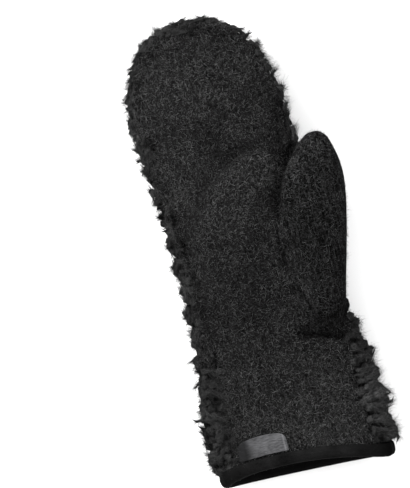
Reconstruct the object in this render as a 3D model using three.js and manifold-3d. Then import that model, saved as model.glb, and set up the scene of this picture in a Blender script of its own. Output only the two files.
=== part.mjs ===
// A right-hand wool mitten lying palm up: a back of curly deep pile that wraps round the sides on to the palm,
// a felted palm with a thumb and a short index finger sewn into it, a folded binding round the open cuff and a
// small bare label. x runs from the little-finger side to the thumb side, y from the cuff to the fingertips,
// z up from the surface that the pile rests on. All sizes are millimetres.
import * as THREE from "three";
import { mergeVertices } from "three/addons/utils/BufferGeometryUtils.js";
import Module from "manifold-3d";

const wasm = await Module();
wasm.setup();

// Driving dimensions
const TIP_Y = 293; // from the cuff's fold line to the end of the fingertips
const TIP_START = 225; // where the sides begin to round towards the tip
const TIP_ROUNDING = 2.3; // 2 is an ellipse, more is squarer
const SQUARENESS = 2.4; // of the cross-sections, by the same measure
const PILE = 6.2; // depth of the curly pile outside its backing
const BACKING = 3.2; // knitted backing of the pile
const PALM = 3.6; // felted palm
const FINGER_WALL = 3.2; // felted thumb and index finger
const GAP = 0.35; // between pieces that meet
const SEAM_LEVEL = 22; // height of the lowest point of the side seams

// The body's outline and the height of the palm above the floor. border is how far the pile reaches in over the
// palm from each edge.
const BODY = [
  { y: -30, pinky: -62, thumb: 61, crown: 34, border: 15.5 },
  { y: 0, pinky: -61.5, thumb: 60.5, crown: 34.5, border: 15.5 },
  { y: 30, pinky: -60, thumb: 58.5, crown: 36, border: 15 },
  { y: 60, pinky: -56, thumb: 55, crown: 39, border: 13.5 },
  { y: 90, pinky: -51.5, thumb: 50.5, crown: 42.5, border: 11 },
  { y: 130, pinky: -50, thumb: 47, crown: 46, border: 9 },
  { y: 155, pinky: -51, thumb: 45.5, crown: 46.5, border: 8 },
  { y: 180, pinky: -52.5, thumb: 44.5, crown: 43.5, border: 7.5 },
  { y: 200, pinky: -54, thumb: 43.5, crown: 41, border: 7.5 },
  { y: 225, pinky: -56, thumb: 42, crown: 40, border: 7.5 },
  { y: 293, pinky: -57, thumb: 40, crown: 36, border: 7.5 },
];

// Layers of the body: inset from the outline, height of the underside, drop of the top below the crown.
const PILE_LAYER = { inset: 0, floor: -1.5, drop: -1.5 };
const WALL_LAYER = { inset: PILE, floor: PILE - 0.2, drop: 0 };
const WALL_CLEARANCE = { inset: PILE - GAP, floor: PILE - 0.2 - GAP, drop: -GAP };
const CAVITY_LAYER = { inset: PILE + BACKING, floor: PILE + BACKING - 0.2, drop: PALM };
const CAVITY_CLEARANCE = { inset: PILE + BACKING + GAP, floor: PILE + BACKING - 0.2 + GAP, drop: PALM + GAP };
const HEM_LAYER = { inset: PILE + BACKING / 2, floor: PILE + BACKING / 2 - 0.2, drop: PALM / 2 };

// Locks of the pile: staggered rows of bumps.
const LOCK_ROW = 15.75;
const LOCK_LENGTH = 17;
const LOCK_HEIGHT = 5;
const LOCK_SINK = 2; // how far the hollows between locks lie under the pile layer

// Cuff: the palm's edge lies back from the back's in an arch, and the whole edge slants a little.
const CUFF = { slant: -0.041, start: -3.8, recess: 9, recessX: -12, recessHalf: 62, fadeOver: 50 };
const BINDING = { width: 6.6, inside: 6, reach: PALM / 2 + GAP + 1.4, fold: 1.9 };

// Rings of the thumb and of the index finger, from inside the palm to the tip. Each spans from a point on the
// digit's back, which faces up, to one on its front, above the palm. x is its middle, across its half width, and
// sag is how far its two sides hang below the middle.
const THUMB = [
  { x: 26.5, across: 11, backY: 82, backZ: 27, frontY: 152, frontZ: 24, sag: 1 },
  { x: 28.5, across: 14, backY: 77, backZ: 35, frontY: 154.5, frontZ: 29, sag: 2 },
  { x: 32, across: 17.8, backY: 78.5, backZ: 42, frontY: 156, frontZ: 31, sag: 4.5 },
  { x: 33.6, across: 19.2, backY: 92, backZ: 49.5, frontY: 157, frontZ: 32, sag: 4.5 },
  { x: 36, across: 21, backY: 113, backZ: 54, frontY: 158.5, frontZ: 32.6, sag: 3.5 },
  { x: 39, across: 22.2, backY: 136, backZ: 55.8, frontY: 160.5, frontZ: 32.8, sag: 2.5 },
  { x: 42.2, across: 22, backY: 157, backZ: 55.4, frontY: 164.5, frontZ: 32.8, sag: 1.5 },
  { x: 45, across: 20.8, backY: 171, backZ: 53.8, frontY: 173, frontZ: 32.8, sag: 0.5 },
  { x: 47.6, across: 17.8, backY: 183, backZ: 51.8, frontY: 182.5, frontZ: 33, sag: 0 },
  { x: 50.4, across: 13.2, backY: 192.5, backZ: 49.6, frontY: 191, frontZ: 33.6, sag: 0 },
  { x: 52.3, across: 9, backY: 199.5, backZ: 47.2, frontY: 198, frontZ: 34.8, sag: 0 },
  { x: 53.2, across: 3.8, backY: 203.4, backZ: 43.8, frontY: 202.6, frontZ: 37.8, sag: 0 },
];
const INDEX_FINGER = [
  { x: -12, across: 23, backY: 108, backZ: 30, frontY: 172, frontZ: 26, sag: 4 },
  { x: -12, across: 27, backY: 95, backZ: 39, frontY: 176, frontZ: 35, sag: 8 },
  { x: -12, across: 28, backY: 97, backZ: 44.8, frontY: 179, frontZ: 38.5, sag: 9 },
  { x: -11.5, across: 28, backY: 115, backZ: 49.3, frontY: 181, frontZ: 39.6, sag: 8.5 },
  { x: -9.5, across: 28, backY: 138, backZ: 52.6, frontY: 182.5, frontZ: 40, sag: 7 },
  { x: -5.5, across: 26.5, backY: 160, backZ: 54.4, frontY: 184.6, frontZ: 40, sag: 5 },
  { x: 0.6, across: 22.2, backY: 177, backZ: 54, frontY: 187.4, frontZ: 39.8, sag: 3 },
  { x: 5.8, across: 16.6, backY: 188, backZ: 52.2, frontY: 191.2, frontZ: 39.6, sag: 2 },
  { x: 8.6, across: 11.8, backY: 195, backZ: 50.4, frontY: 195.4, frontZ: 39.8, sag: 1 },
  { x: 10.4, across: 7.2, backY: 199.2, backZ: 48.4, frontY: 198.6, frontZ: 40.6, sag: 0.5 },
  { x: 11.2, across: 3, backY: 201, backZ: 46.2, frontY: 200.4, frontZ: 42.4, sag: 0 },
];

const LABEL = { x: -25.7, y: 7.6, halfWidth: 15.8, height: 12.8, thickness: 1, corner: 4 };

// How finely each kind of surface is divided, in points round a ring and millimetres along it.
const FINE = { points: 48, step: 5.25 };
const PLAIN = { points: 32, step: 15 };

const FELT = { color: 0x2b2b2c, roughness: 0.95, metalness: 0 };
const CURLY_PILE = { color: 0x3c3c3d, roughness: 1, metalness: 0 };
const TAPE = { color: 0x0d0d0e, roughness: 0.7, metalness: 0 };
const BARE_LABEL = { color: 0x55565a, roughness: 0.5, metalness: 0 };

// The value of one column of a table at a place between its rows, on a smooth curve through them.
function between(rows, key, place) {
  const last = rows.length - 1;
  const i = Math.min(Math.max(Math.floor(place), 0), last - 1);
  const t = Math.min(Math.max(place - i, 0), 1);
  const [before, from, to, after] = [i - 1, i, i + 1, i + 2].map((n) => rows[Math.min(Math.max(n, 0), last)][key]);
  const [slopeFrom, slopeTo] = [(to - before) / 2, (after - from) / 2];
  const curve = 2 * (from - to) + slopeFrom + slopeTo;
  return from + t * (slopeFrom + t * (3 * (to - from) - 2 * slopeFrom - slopeTo + t * curve));
}

// The same along the body, where the place is a distance from the cuff.
function bodyAt(key, y) {
  const next = Math.max(1, BODY.findIndex((row) => row.y >= y));
  const [from, to] = [BODY[next - 1], BODY[next]];
  const t = THREE.MathUtils.clamp((y - from.y) / (to.y - from.y), 0, 1);
  return between(BODY, key, next - 1 + t);
}

const superCos = (angle, power) => Math.sign(Math.cos(angle)) * Math.abs(Math.cos(angle)) ** (2 / power);
const superSin = (angle, power) => Math.sign(Math.sin(angle)) * Math.abs(Math.sin(angle)) ** (2 / power);

// The share of the full width that is left at y, from 1 where the rounding starts to 0 at the tip.
function tipShare(y, tipY) {
  const along = THREE.MathUtils.clamp((y - TIP_START) / (tipY - TIP_START), 0, 1);
  return (1 - along ** TIP_ROUNDING) ** (1 / TIP_ROUNDING);
}

// How far the cuff's shape moves a point along y.
function cuffShift(x, y, z) {
  const fade = 1 - THREE.MathUtils.smoothstep(y, 0, CUFF.fadeOver);
  const onPalm = THREE.MathUtils.smoothstep(z, SEAM_LEVEL - 6, SEAM_LEVEL + 10);
  const arch = Math.max(0, 1 - ((x - CUFF.recessX) / CUFF.recessHalf) ** 2);
  return fade * (CUFF.start + CUFF.slant * x + CUFF.recess * onPalm * arch);
}

// A point of a layer: angle 0 is the thumb side and a quarter turn is the palm.
function layerPoint(layer, y, angle) {
  const share = tipShare(y, TIP_Y - layer.inset);
  const [pinky, thumb] = [bodyAt("pinky", y) + layer.inset, bodyAt("thumb", y) - layer.inset];
  const top = bodyAt("crown", y) - layer.drop;
  const x = (pinky + thumb) / 2 + (share * (thumb - pinky) * superCos(angle, SQUARENESS)) / 2;
  const z = (layer.floor + top) / 2 + (share * (top - layer.floor) * superSin(angle, SQUARENESS)) / 2;
  return new THREE.Vector3(x, y, z);
}

// Evenly spaced points round a layer at y.
function layerRing(layer, y, count) {
  const dense = Array.from({ length: 160 }, (_, i) => layerPoint(layer, y, (i / 160) * 2 * Math.PI));
  return new THREE.CatmullRomCurve3(dense, true).getSpacedPoints(count).slice(0, count);
}

// Places along a layer from the cuff to just before its tip, evenly spaced down its thumb side.
function stations(layer, from, step) {
  const tipY = TIP_Y - layer.inset;
  const places = [];
  for (let i = 0; i <= 60; i++) places.push(THREE.MathUtils.lerp(from, TIP_START, i / 60));
  for (let i = 1; i <= 60; i++) {
    places.push(TIP_START + (tipY - TIP_START) * superSin((i / 60) * (Math.PI / 2), TIP_ROUNDING));
  }
  const edge = new THREE.CatmullRomCurve3(places.map((y) => layerPoint(layer, y, 0)));
  return edge.getSpacedPoints(Math.round(edge.getLength() / step)).slice(0, -1);
}

// Height of a lock of the pile above the hollows, 0 to 1, at a distance along the body and round it.
function lockRise(along, round, girth) {
  const row = Math.floor(along / LOCK_ROW);
  const count = Math.max(3, Math.round(girth / LOCK_LENGTH));
  const place = (round / girth) * count + row * 0.5 + 0.35 * Math.sin(row * 2.4);
  const variety = 0.78 + 0.22 * Math.sin(Math.floor(place) * 2.7 + row * 1.9);
  const [lengthwise, across] = [Math.sin((Math.PI * along) / LOCK_ROW), Math.sin(Math.PI * place)];
  return variety * Math.sqrt(Math.abs(lengthwise * across));
}

// Pushes a ring of the pile out where a lock stands, and flattens it where it rests on the floor.
function curl(ring, along) {
  const centre = ringCentre(ring);
  const girth = ring.reduce((sum, p, i) => sum + p.distanceTo(ring[(i + 1) % ring.length]), 0);
  return ring.map((p, i) => {
    const outward = new THREE.Vector3(p.x - centre.x, 0, 2 * (p.z - centre.z)).normalize();
    const rise = LOCK_HEIGHT * lockRise(along, (i / ring.length) * girth, girth) - LOCK_SINK;
    const moved = p.clone().addScaledVector(outward, rise);
    return moved.setZ(Math.max(0, moved.z));
  });
}

function ringCentre(ring) {
  return ring.reduce((sum, p) => sum.add(p), new THREE.Vector3()).divideScalar(ring.length);
}

// A closed body over a row of rings with equally many points. The ends are closed by fans, or joined if looped.
function skin(rings, looped = false) {
  const n = rings[0].length;
  const points = rings.flat();
  const faces = [];
  const spans = looped ? rings.length : rings.length - 1;
  for (let r = 0; r < spans; r++) {
    for (let i = 0; i < n; i++) {
      const [a, b] = [r * n + i, r * n + ((i + 1) % n)];
      const [c, d] = [((r + 1) % rings.length) * n + i, ((r + 1) % rings.length) * n + ((i + 1) % n)];
      faces.push([a, b, d], [a, d, c]);
    }
  }
  if (!looped) {
    points.push(ringCentre(rings[0]), ringCentre(rings.at(-1)));
    const start = (rings.length - 1) * n;
    for (let i = 0; i < n; i++) {
      faces.push([rings.length * n, (i + 1) % n, i], [rings.length * n + 1, start + i, start + ((i + 1) % n)]);
    }
  }
  const geometry = new THREE.BufferGeometry().setFromPoints(points).setIndex(faces.flat());
  return solid(geometry);
}

// A manifold solid of a closed geometry, turned so that its faces point out.
function solid(geometry) {
  geometry.deleteAttribute("normal");
  geometry.deleteAttribute("uv");
  const merged = mergeVertices(geometry, 1e-4);
  const vertProperties = merged.attributes.position.array;
  const triVerts = new Uint32Array(merged.index.array);
  const made = new wasm.Manifold(new wasm.Mesh({ numProp: 3, vertProperties, triVerts }));
  if (made.volume() > 0) return made;
  for (let i = 0; i < triVerts.length; i += 3) {
    [triVerts[i + 1], triVerts[i + 2]] = [triVerts[i + 2], triVerts[i + 1]];
  }
  return new wasm.Manifold(new wasm.Mesh({ numProp: 3, vertProperties, triVerts }));
}

function shaped(point) {
  return point.clone().setY(point.y + cuffShift(point.x, point.y, point.z));
}

// A layer of the body as a closed bag from a place near the cuff to the fingertips.
function bag(layer, from, detail, finish = (ring) => ring) {
  const places = stations(layer, from, detail.step);
  let along = 0;
  const rings = places.map((place, i) => {
    along += i > 0 ? place.distanceTo(places[i - 1]) : 0;
    return finish(layerRing(layer, place.y, detail.points), along).map(shaped);
  });
  return skin(rings);
}

// An upright prism over the palm, whose outline is the seam between palm and pile.
function seamPrism(gap) {
  const rows = stations({ ...PILE_LAYER, inset: bodyAt("border", TIP_Y) + gap }, -30, 13).map((place) => place.y);
  const half = (y) => {
    const share = tipShare(y, TIP_Y - bodyAt("border", TIP_Y) - gap);
    const width = (bodyAt("thumb", y) - bodyAt("pinky", y)) / 2 - bodyAt("border", y) - gap;
    return share * width;
  };
  const middle = (y) => (bodyAt("thumb", y) + bodyAt("pinky", y)) / 2;
  const thumbEdge = rows.map((y) => new THREE.Vector2(middle(y) + half(y), y));
  const pinkyEdge = rows.map((y) => new THREE.Vector2(middle(y) - half(y), y)).reverse();
  const prism = new THREE.ExtrudeGeometry(new THREE.Shape([...thumbEdge, ...pinkyEdge]), {
    depth: 60,
    bevelEnabled: false,
  });
  return solid(prism.translate(0, 0, SEAM_LEVEL));
}

// A thumb or finger from its table of rings, made thinner by the wall for the space inside it.
function digit(table, wall, points, perRow) {
  const halfDepth = (row) => Math.hypot(row.backY - row.frontY, row.backZ - row.frontZ) / 2;
  const rows = table.filter((row) => Math.min(row.across, halfDepth(row)) > wall + 1);
  const rings = [];
  for (let place = 0; place <= rows.length - 1; place += 1 / perRow) {
    const row = Object.fromEntries(Object.keys(rows[0]).map((key) => [key, between(rows, key, place)]));
    const back = new THREE.Vector3(row.x, row.backY, row.backZ);
    const front = new THREE.Vector3(row.x, row.frontY, row.frontZ);
    const centre = back.clone().lerp(front, 0.5);
    const depth = back.sub(front).setLength(halfDepth(row) - wall);
    rings.push(
      Array.from({ length: points }, (_, i) => {
        const angle = (i / points) * 2 * Math.PI;
        const point = centre.clone().addScaledVector(depth, -superSin(angle, SQUARENESS));
        point.x += superCos(angle, SQUARENESS) * (row.across - wall);
        point.z -= row.sag * Math.cos(angle) ** 2;
        return point;
      }),
    );
  }
  return skin(rings);
}

// The binding: a tape folded over the hem, as a profile carried round the cuff. out is away from the hem's middle.
function binding() {
  const { width, inside, reach, fold } = BINDING;
  const profile = [
    { out: reach, y: width },
    { out: reach + 0.4, y: width / 2 },
    { out: reach, y: 0.6 },
    { out: reach * 0.7, y: -fold * 0.75 },
    { out: 0, y: -fold - GAP },
    { out: -reach * 0.7, y: -fold * 0.75 },
    { out: -reach, y: 0.6 },
    { out: -reach, y: inside },
    { out: 0, y: inside },
    { out: 0, y: width },
  ];
  const hem = layerRing(HEM_LAYER, 0, 44);
  const rings = hem.map((p, i) => {
    const along = hem[(i + 1) % hem.length].clone().sub(hem.at(i - 1)).normalize();
    const outward = new THREE.Vector3(along.z, 0, -along.x);
    return profile.map(({ out, y }) => shaped(p.clone().addScaledVector(outward, out).setY(y)));
  });
  const hemSpace = bag(WALL_CLEARANCE, -GAP, PLAIN).subtract(bag(CAVITY_CLEARANCE, -5, PLAIN));
  return skin(rings, true).subtract(hemSpace);
}

// Height of the palm's outer face.
function palmHeight(x, y) {
  const [pinky, thumb] = [bodyAt("pinky", y) + PILE, bodyAt("thumb", y) - PILE];
  const [low, top] = [WALL_LAYER.floor, bodyAt("crown", y)];
  const across = Math.min(1, Math.abs(x - (pinky + thumb) / 2) / ((thumb - pinky) / 2));
  return (low + top) / 2 + ((top - low) / 2) * (1 - across ** SQUARENESS) ** (1 / SQUARENESS);
}

// The label: a strip that follows the palm, held by the binding along its lower edge, with round upper corners.
function label() {
  const rings = [];
  for (let i = 0; i <= 12; i++) {
    const offset = LABEL.halfWidth * Math.sin((i / 12 - 0.5) * Math.PI);
    const x = LABEL.x + offset;
    const past = Math.max(0, Math.abs(offset) - (LABEL.halfWidth - LABEL.corner));
    const trim = LABEL.corner - Math.sqrt(Math.max(0, LABEL.corner ** 2 - past ** 2));
    const top = LABEL.y + LABEL.height - trim;
    const corner = (y, lift) => shaped(new THREE.Vector3(x, y, palmHeight(x, y) + GAP + lift));
    const places = [LABEL.y, (LABEL.y + top) / 2, top];
    const under = places.map((y) => corner(y, 0.1));
    const over = places.map((y) => corner(y, 0.1 + LABEL.thickness)).reverse();
    rings.push([...under, ...over]);
  }
  return skin(rings);
}

// The solids
const wall = bag(WALL_LAYER, 0, PLAIN);
const cavity = bag(CAVITY_LAYER, -25, PLAIN);
const pile = bag(PILE_LAYER, BINDING.width + 1.4, FINE, curl);
const thumbSpace = digit(THUMB, FINGER_WALL, 12, 1);
const fingerSpace = digit(INDEX_FINGER, FINGER_WALL, 12, 1);
const clearOfBody = bag(WALL_CLEARANCE, -5, PLAIN);
const thumbRoot = { ...THUMB[0], backZ: THUMB[0].backZ - 3, frontZ: THUMB[0].frontZ - 3 };
const thumbRoom = digit([thumbRoot, ...THUMB.slice(1)], -3.2 * GAP, 18, 2);
const backPanel = pile.add(wall).subtract(cavity).subtract(seamPrism(-GAP)).subtract(thumbRoom);
const palmPanel = wall.subtract(cavity).intersect(seamPrism(0)).subtract(thumbSpace).subtract(fingerSpace);
const thumb = digit(THUMB, 0, 18, 2).subtract(thumbSpace).subtract(clearOfBody);
const indexFinger = digit(INDEX_FINGER, 0, 18, 2).subtract(fingerSpace).subtract(clearOfBody);

// A named mesh of a solid.
function piece(name, made, material) {
  const { vertProperties, triVerts } = made.getMesh();
  const geometry = new THREE.BufferGeometry()
    .setAttribute("position", new THREE.BufferAttribute(vertProperties, 3))
    .setIndex(new THREE.BufferAttribute(triVerts, 1));
  geometry.computeVertexNormals();
  const mesh = new THREE.Mesh(geometry, new THREE.MeshStandardMaterial(material));
  mesh.name = name;
  return mesh;
}

const mitten = new THREE.Group();
mitten.add(
  piece("back_panel", backPanel, CURLY_PILE),
  piece("palm_panel", palmPanel, FELT),
  piece("thumb", thumb, FELT),
  piece("index_finger", indexFinger, FELT),
  piece("cuff_binding", binding(), TAPE),
  piece("label", label(), BARE_LABEL),
);

// The origin is the middle of the mitten's plan, on the floor.
const middle = new THREE.Box3().setFromObject(mitten).getCenter(new THREE.Vector3());
mitten.position.set(-middle.x, -middle.y, 0);

export default mitten;
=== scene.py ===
"""Looks of the wool mitten: curly pile, felted knit, bound cuff and a bare satin label, on a pale floor."""
import math

import bpy
import numpy as np
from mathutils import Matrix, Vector
from mathutils.bvhtree import BVHTree
from mathutils.kdtree import KDTree


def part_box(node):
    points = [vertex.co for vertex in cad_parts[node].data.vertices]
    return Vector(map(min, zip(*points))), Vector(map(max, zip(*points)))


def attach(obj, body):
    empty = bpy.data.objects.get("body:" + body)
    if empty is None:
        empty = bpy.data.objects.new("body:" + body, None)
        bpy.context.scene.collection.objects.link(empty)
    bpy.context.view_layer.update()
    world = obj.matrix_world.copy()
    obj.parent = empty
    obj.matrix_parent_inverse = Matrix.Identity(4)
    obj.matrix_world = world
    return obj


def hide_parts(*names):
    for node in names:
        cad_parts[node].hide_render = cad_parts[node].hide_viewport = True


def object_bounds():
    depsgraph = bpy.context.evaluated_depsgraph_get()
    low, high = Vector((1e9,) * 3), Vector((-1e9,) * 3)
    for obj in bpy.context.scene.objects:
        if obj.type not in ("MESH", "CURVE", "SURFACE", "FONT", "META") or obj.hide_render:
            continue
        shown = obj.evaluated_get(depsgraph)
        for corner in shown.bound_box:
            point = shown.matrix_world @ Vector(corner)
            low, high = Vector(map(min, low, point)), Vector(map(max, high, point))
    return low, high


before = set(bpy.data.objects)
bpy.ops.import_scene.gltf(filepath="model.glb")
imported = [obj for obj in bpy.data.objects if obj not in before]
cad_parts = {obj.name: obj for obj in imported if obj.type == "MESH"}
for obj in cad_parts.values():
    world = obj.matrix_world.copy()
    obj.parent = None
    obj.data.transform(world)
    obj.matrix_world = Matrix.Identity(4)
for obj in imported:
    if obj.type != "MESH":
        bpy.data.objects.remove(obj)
cad_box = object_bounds()

MM = 0.001
SEED = 7

# Skins made from the frame's solids: voxel size in mm and rounds of smoothing.
PILE_SKIN = (2.0, 3)
FELT_SKIN = (1.25, 6)
TAPE_SKIN = (0.65, 5)
LABEL_SKIN = (0.3, 2)
SMOOTH_FACTOR = 0.5

# Locks of the pile, in mm. They get shorter and narrower towards the fingertips.
LOCK_CANDIDATES = 40000
LOCK_SPACING = 4.9
LOCK_LENGTH = (10.0, 17.0)
LOCK_WIDTH = (1.9, 3.4)
LOCK_RINGS = 9
LOCK_SIDES = 7
LOCK_PIECES = 2

# How the locks curl: directions and twist in radians, bend as a share of the length, lifts in mm; also the
# share of painted light and shade on each lock's outer and inner sides.
LOCK_TURN = {"everywhere": 0.22, "flank": 0.5, "tips": 0.6, "tips_from": 0.4}
LOCK_BEND = 0.16
LOCK_LIFT = (-0.7, 1.4)
LOCK_TIP = (0.0, 3.0)
LOCK_PLIES = (2, 3)
LOCK_TWIST = (2.5, 5.5)
LOCK_DEPTH = 0.75
LOCK_FLATNESS = 0.86
LOCK_PAINTED_LIGHT = 0.35
GIRTH_WAVE = 0.28
PLY_DEPTH = 0.24

# Wisps are locks on the flanks that stand out: their chance, how far in mm, and their share of the width.
WISP = {"chance": 0.6, "length": (1.5, 5.5), "width": 0.8}

# How far locks are rooted from the felt's rim and from the tape, more on the underside, in mm.
RIM_MARGIN = 1.0
TAPE_MARGIN = 0.5
TAPE_MARGIN_BELOW = 8.0

# The outer side faces away from the middle and has only lumps of the pile over it, in mm.
MIDDLE_HEIGHT = 24.0
LUMP_DISTANCE = (1.0, 9.0)
PROBE = 0.2

# How deep the locks' backing lies, and how far locks and fibres stay above the floor, in mm.
SINK = 3.4
SINK_ROUNDS = 4
FLOOR_CLEARANCE = 0.3

# Loose fibres: how many meshes, how many in each, length and width in mm, and how they stray or lift.
PILE_FIBRES = {"pieces": 2, "count": 46000, "length": (3.5, 8.5), "width": 0.2, "stray": 0.28}
PILE_FIBRE_TONE = (0.6, 1.2)
FELT_FIBRES = {"count": 46000, "length": (1.6, 4.0), "width": 0.2, "lift": (0.05, 0.3)}
FIBRE_SEGMENTS = 2
FIBRE_CURL = 0.55
FIBRE_TAPER = 0.8

# A few of the felt's fibres stand up, and a few are much lighter than the rest.
RAISED = {"share": 0.12, "lift": 0.7}
FELT_FIBRE_TONE = {"least": 0.12, "most": 1.9, "power": 4}

# How far the middle of the label's upper edge stands above its ends, in mm.
LABEL_BOW = 1.9

# Where the plan of the frame has the middle of the cuff and the palm side's fold line, in mm.
CUFF_MIDDLE = (-2.17, -142.31)

# Spacing of the grid that sheets of felt are worked out on, and the room round the part, in mm.
GRID = 1.5
GRID_MARGIN = 4

# Part of the plan where the index finger grows out of the palm with no edge, in mm from the cuff's middle.
BLEND_X = (-46.0, -38.0, 18.0, 24.0)
BLEND_Y = (66.0, 90.0, 150.0, 182.0)
BLEND = {"rounds": 120, "least": 0.02, "sink": 0.25, "thickness": 2.6}

# How far in from the outline the felt ends, as distance from the cuff and inset in mm.
FELT_INSET = ((0.0, 16.0), (40.0, 14.0), (62.0, 10.5), (73.0, 7.5), (81.0, 2.5), (290.0, 2.5))

# The felt's rim rolls over the pile's edge: where it slopes down, how far it is raised and falls, in mm.
RIM_WIDTH = (10.0, 15.0)
RIM = {"raise": 0.5, "fall": 1.4, "rounds": 2, "overlap": 2, "start": 12, "thickness": 4.0}

# The pile lies flatter beside the thumb: the plan's part in mm, and what changes there.
QUIET_X = (25.0, 31.0)
QUIET_Y = (82.0, 90.0, 150.0, 165.0)
QUIET = {"bare_share": 0.4, "bare_height": 13, "narrower": 0.3, "lower": 1.8}

# Edge of the index finger, round from the thumb's side, as points from the cuff's middle in mm.
LOBE_EDGE = (
    (28.5, 150.0),
    (28.0, 188.0),
    (19.5, 200.5),
    (4.0, 198.5),
    (-9.0, 190.0),
    (-17.0, 181.0),
    (-27.0, 168.0),
)

# Crease under the thumb, fold above it and seam beside the thumb, as points from the cuff's middle in mm.
THUMB_CREASE = ((13.0, 81.0), (27.0, 76.5), (40.0, 73.0), (50.0, 72.0))
THUMB_FOLD = ((13.0, 83.0), (20.0, 85.0), (31.0, 88.0), (47.0, 92.0))
THUMB_SEAM = ((10.0, 92.0), (9.0, 112.0), (14.5, 136.0), (19.5, 157.0))
CREASE_START = (11, 17)

# Relief of the felt beside these lines: height, how far beside the line it is and its reach, in mm.
CREASE_ROLL = (2.4, -4.5, 5.0)
CREASE_CUT = (3.2, 1.2, 1.9)
FOLD_CUT = (0.9, 0.0, 1.8)
SEAM_CUT = (0.35, 0.0, 1.2)
DENT_HEIGHT = 0.5

# Painted light and shade on the felt along the mitten, as distance from the cuff in mm and share.
FELT_PAINTED_TONE = (
    (0.0, 1.3),
    (40.0, 1.19),
    (70.0, 0.95),
    (100.0, 0.66),
    (125.0, 0.62),
    (150.0, 0.68),
    (175.0, 0.94),
    (195.0, 1.0),
    (215.0, 0.9),
    (228.0, 0.82),
    (248.0, 1.12),
    (262.0, 0.95),
    (272.0, 0.75),
    (292.0, 0.7),
)
# Painted shade: the whole thumb is darker than the palm.
THUMB_SHADE_TONE = 0.45
# Painted shade on the felt's faces inside the cuff's mouth.
INNER_SHADE_TONE = 0.35

# Spots of painted light and shade, as place from the cuff's middle, reach in mm and change of tone.
PILE_PAINTED_SPOTS = (
    ((48.0, 29.0), (11.0, 18.0), 1.35),
    ((52.0, 68.0), (12.0, 20.0), -0.45),
    ((-52.0, 60.0), (14.0, 34.0), -0.2),
    ((39.0, 212.0), (7.0, 10.0), -0.5),
)
FELT_PAINTED_SPOTS = (
    ((-5.0, 209.0), (14.0, 15.0), -0.36),
    ((36.0, 181.0), (6.0, 14.0), 0.7),
    ((22.0, 185.0), (4.0, 9.0), 0.6),
    ((45.0, 91.0), (7.0, 6.0), -0.4),
    ((9.0, 109.0), (7.0, 12.0), 0.4),
)

# Painted shade on the tape, darker downward into the cuff's mouth and towards its ends: axis, start and end
# in mm, and its tone at them.
TAPE_PAINTED_SHADE = (("Z", 12, 33, 0.38, 1.0), ("X", 24, 52, 1.0, 0.2), ("X", -60, -40, 0.6, 1.0))

# Painted shade that makes the label darker to its left: start and end as shares of its width, and the least
# tone.
LABEL_PAINTED_SHADE = ((0.15, 0.25, 0.25), (0.2, 0.6, 0.5))
# Place of a painted highlight along a fold near the label's right end, as a share of its width.
LABEL_FOLD_HIGHLIGHT = 0.94

# Stitches along the tape's edge, in mm: distance from the cuff's ends, spacing, size and place on the tape.
STITCH = {"margin": 7, "spacing": 2.5, "inset": 1, "lift": 0.12, "length": 1.7, "longest": 3, "radius": 0.28}
STITCH_SIDES = 6
STITCH_PROFILE = ((0.0, 0.25), (0.2, 0.9), (0.5, 1.0), (0.8, 0.9), (1.0, 0.25))

# How the tape's edge is looked for, in mm.
EDGE_SEARCH = {"steps": 140, "step": 0.15, "height": 5, "reach": 20}

# Dark and light colour of each surface, from 0 to 1.
FELT_COLOURS = ((0.0003, 0.0003, 0.0003), (0.076, 0.076, 0.076))
FELT_FIBRE_COLOURS = ((0.0005, 0.0005, 0.0005), (0.38, 0.38, 0.38))
LOCK_COLOURS = ((0.0012, 0.0012, 0.0012), (0.082, 0.082, 0.082))
PILE_FIBRE_COLOURS = ((0.004, 0.004, 0.004), (0.23, 0.23, 0.23))
BACKING_COLOURS = ((0.003, 0.003, 0.003), (0.014, 0.014, 0.014))
TAPE_COLOURS = ((0.0006, 0.0006, 0.0006), (0.0095, 0.0095, 0.0095))
THREAD_COLOURS = ((0.002, 0.002, 0.002), (0.014, 0.014, 0.014))
SATIN_COLOURS = ((0.002, 0.002, 0.0021), (0.1, 0.1, 0.104))
FLOOR_COLOUR = (0.9, 0.9, 0.9)

# Most values of a noise texture lie between these.
NOISE_SPAN = (0.3, 0.7)

# Floor and lights, in metres and watts: name, place, size and power.
FLOOR_HALF = 3.0
WORLD_LIGHT = 1.4
LIGHTS = (("key", (-0.75, 0.8, 0.75), 0.45, 36), ("fill", (0.9, -0.2, 0.9), 0.8, 5))

# Camera: the place in the picture's middle, in mm from the cuff's middle, and the picture's height there.
VIEW_PLACE = (-29.2, 151.5, 30.0)
VIEW_HEIGHT = 308.4
VIEW_TURN = math.radians(-14.3)
CAMERA_HEIGHT = 1250.0
SENSOR = 36


def frame_mesh(*names):
    """Vertices in metres and triangles of some of the frame's nodes, joined."""
    points = []
    faces = []
    for name in names:
        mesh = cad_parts[name].data
        start = len(points)
        points.extend(tuple(v.co) for v in mesh.vertices)
        faces.extend(tuple(start + i for i in polygon.vertices) for polygon in mesh.polygons)
    return points, faces


def add_object(name, points, faces, material):
    """A new smooth-shaded mesh object."""
    mesh = bpy.data.meshes.new(name)
    mesh.from_pydata([tuple(p) for p in points], [], [tuple(f) for f in faces])
    mesh.materials.append(material)
    mesh.polygons.foreach_set("use_smooth", [True] * len(mesh.polygons))
    obj = bpy.data.objects.new(name, mesh)
    bpy.context.scene.collection.objects.link(obj)
    return obj


def add_smoothing(obj, rounds):
    smooth = obj.modifiers.new("smooth", "SMOOTH")
    smooth.factor = SMOOTH_FACTOR
    smooth.iterations = rounds


def apply_modifiers(obj):
    depsgraph = bpy.context.evaluated_depsgraph_get()
    mesh = bpy.data.meshes.new_from_object(obj.evaluated_get(depsgraph))
    obj.modifiers.clear()
    obj.data = mesh
    mesh.polygons.foreach_set("use_smooth", [True] * len(mesh.polygons))


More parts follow.
